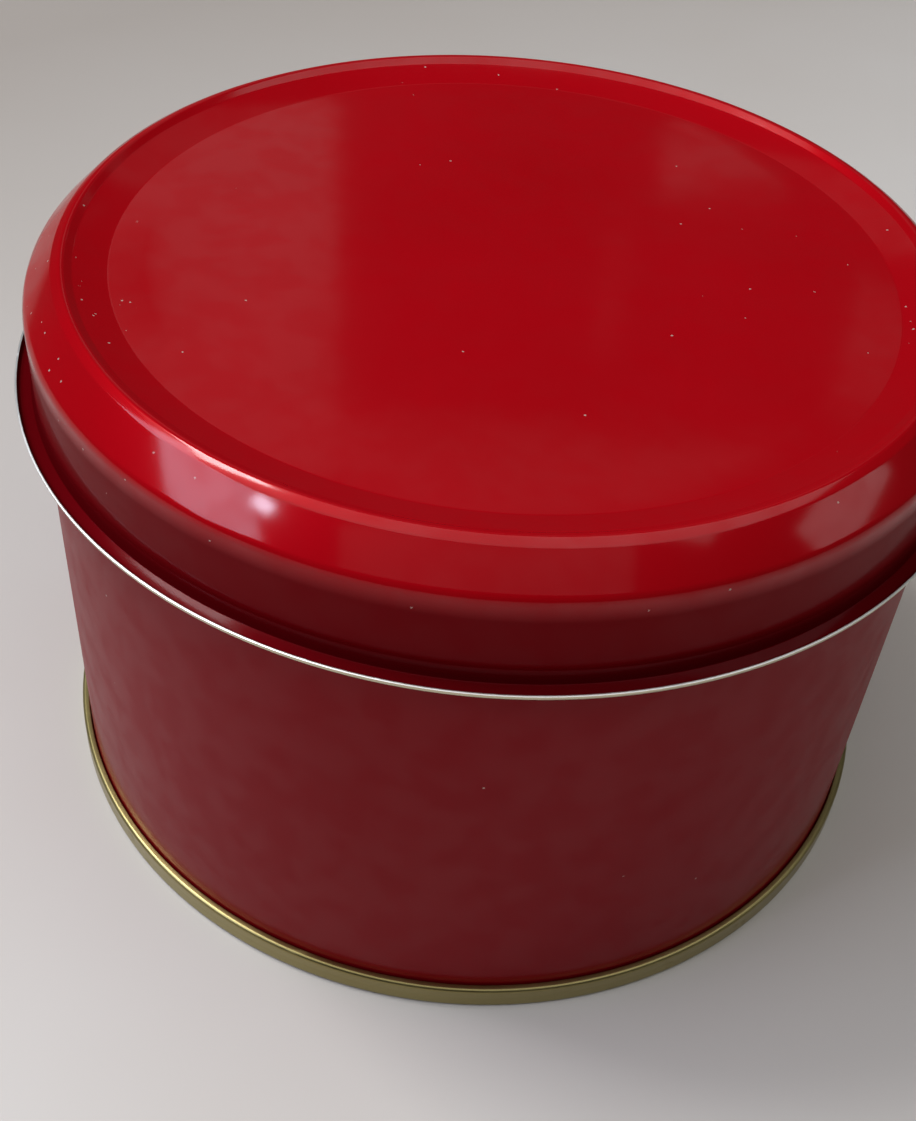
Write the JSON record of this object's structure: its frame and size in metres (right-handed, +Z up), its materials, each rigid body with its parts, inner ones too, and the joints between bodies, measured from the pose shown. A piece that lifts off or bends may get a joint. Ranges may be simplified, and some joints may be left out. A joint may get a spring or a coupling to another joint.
{
  "type": "bobbin box",
  "caption": "Round slip-lid tin with a sunk lid panel and a curled rim, holding a lift-out tray whose pegs carry wound sewing bobbins.",
  "frame": {"origin": "on the tin's axis, in the plane that the tin stands on", "axes": "+Z up along the tin's axis; X and Y are alike on a round tin, and the welded side seam lies towards +Y"},
  "size_m": [0.111, 0.111, 0.0701],
  "materials": {
    "red_lacquer_satin": "semi-gloss red lacquer on tinplate",
    "red_lacquer_gloss": "glossy red lacquer on tinplate, bare metal at the trimmed edge",
    "gold_lacquered_tinplate": "transparent gold lacquer over tinplate",
    "lining_compound": "matte sealing compound",
    "tube_board": "wound kraft board, matte",
    "tray_plastic": "moulded, satin",
    "spool_plastic": "clear moulded plastic",
    "thread_cream": "wound sewing thread",
    "thread_black": "wound sewing thread",
    "thread_navy": "wound sewing thread",
    "thread_scarlet": "wound sewing thread",
    "thread_gold": "wound sewing thread",
    "thread_green": "wound sewing thread",
    "thread_pink": "wound sewing thread",
    "thread_violet": "wound sewing thread",
    "thread_brown": "wound sewing thread",
    "thread_teal": "wound sewing thread"
  },
  "bodies": {
    "tin": {"body_shell": "red_lacquer_satin", "bottom_end": "gold_lacquered_tinplate", "seam_compound": "lining_compound", "support_tube": "tube_board"},
    "lid": {"lid": "red_lacquer_gloss"},
    "tray": {"bobbin_tray": "tray_plastic"},
    "bobbin_01": {"spool_01": "spool_plastic", "thread_01": "thread_cream"},
    "bobbin_02": {"spool_02": "spool_plastic", "thread_02": "thread_black"},
    "bobbin_03": {"spool_03": "spool_plastic", "thread_03": "thread_navy"},
    "bobbin_04": {"spool_04": "spool_plastic", "thread_04": "thread_scarlet"},
    "bobbin_05": {"spool_05": "spool_plastic", "thread_05": "thread_gold"},
    "bobbin_06": {"spool_06": "spool_plastic", "thread_06": "thread_green"},
    "bobbin_07": {"spool_07": "spool_plastic", "thread_07": "thread_pink"},
    "bobbin_08": {"spool_08": "spool_plastic", "thread_08": "thread_violet"},
    "bobbin_09": {"spool_09": "spool_plastic", "thread_09": "thread_brown"},
    "bobbin_10": {"spool_10": "spool_plastic", "thread_10": "thread_teal"}
  },
  "joints": [
    {"name": "lid_lift", "type": "slide", "parent": "tin", "child": "lid", "axis": [0, 0, 1], "range_m": [0, 0.06]},
    {"name": "tray_turn", "type": "hinge", "parent": "tin", "child": "tray", "pos_m": [0, 0, 0.045], "axis": [0, 0, 1], "continuous": true},
    {"name": "bobbin_01_spin", "type": "hinge", "parent": "tray", "child": "bobbin_01", "pos_m": [0.0365, 0, 0.04615], "axis": [0, 0, 1], "continuous": true},
    {"name": "bobbin_02_spin", "type": "hinge", "parent": "tray", "child": "bobbin_02", "pos_m": [0.02953, 0.02145, 0.04615], "axis": [0, 0, 1], "continuous": true},
    {"name": "bobbin_03_spin", "type": "hinge", "parent": "tray", "child": "bobbin_03", "pos_m": [0.01128, 0.03471, 0.04615], "axis": [0, 0, 1], "continuous": true},
    {"name": "bobbin_04_spin", "type": "hinge", "parent": "tray", "child": "bobbin_04", "pos_m": [-0.01128, 0.03471, 0.04615], "axis": [0, 0, 1], "continuous": true},
    {"name": "bobbin_05_spin", "type": "hinge", "parent": "tray", "child": "bobbin_05", "pos_m": [-0.02953, 0.02145, 0.04615], "axis": [0, 0, 1], "continuous": true},
    {"name": "bobbin_06_spin", "type": "hinge", "parent": "tray", "child": "bobbin_06", "pos_m": [-0.0365, 0, 0.04615], "axis": [0, 0, 1], "continuous": true},
    {"name": "bobbin_07_spin", "type": "hinge", "parent": "tray", "child": "bobbin_07", "pos_m": [-0.02953, -0.02145, 0.04615], "axis": [0, 0, 1], "continuous": true},
    {"name": "bobbin_08_spin", "type": "hinge", "parent": "tray", "child": "bobbin_08", "pos_m": [-0.01128, -0.03471, 0.04615], "axis": [0, 0, 1], "continuous": true},
    {"name": "bobbin_09_spin", "type": "hinge", "parent": "tray", "child": "bobbin_09", "pos_m": [0.01128, -0.03471, 0.04615], "axis": [0, 0, 1], "continuous": true},
    {"name": "bobbin_10_spin", "type": "hinge", "parent": "tray", "child": "bobbin_10", "pos_m": [0.02953, -0.02145, 0.04615], "axis": [0, 0, 1], "continuous": true}
  ]
}
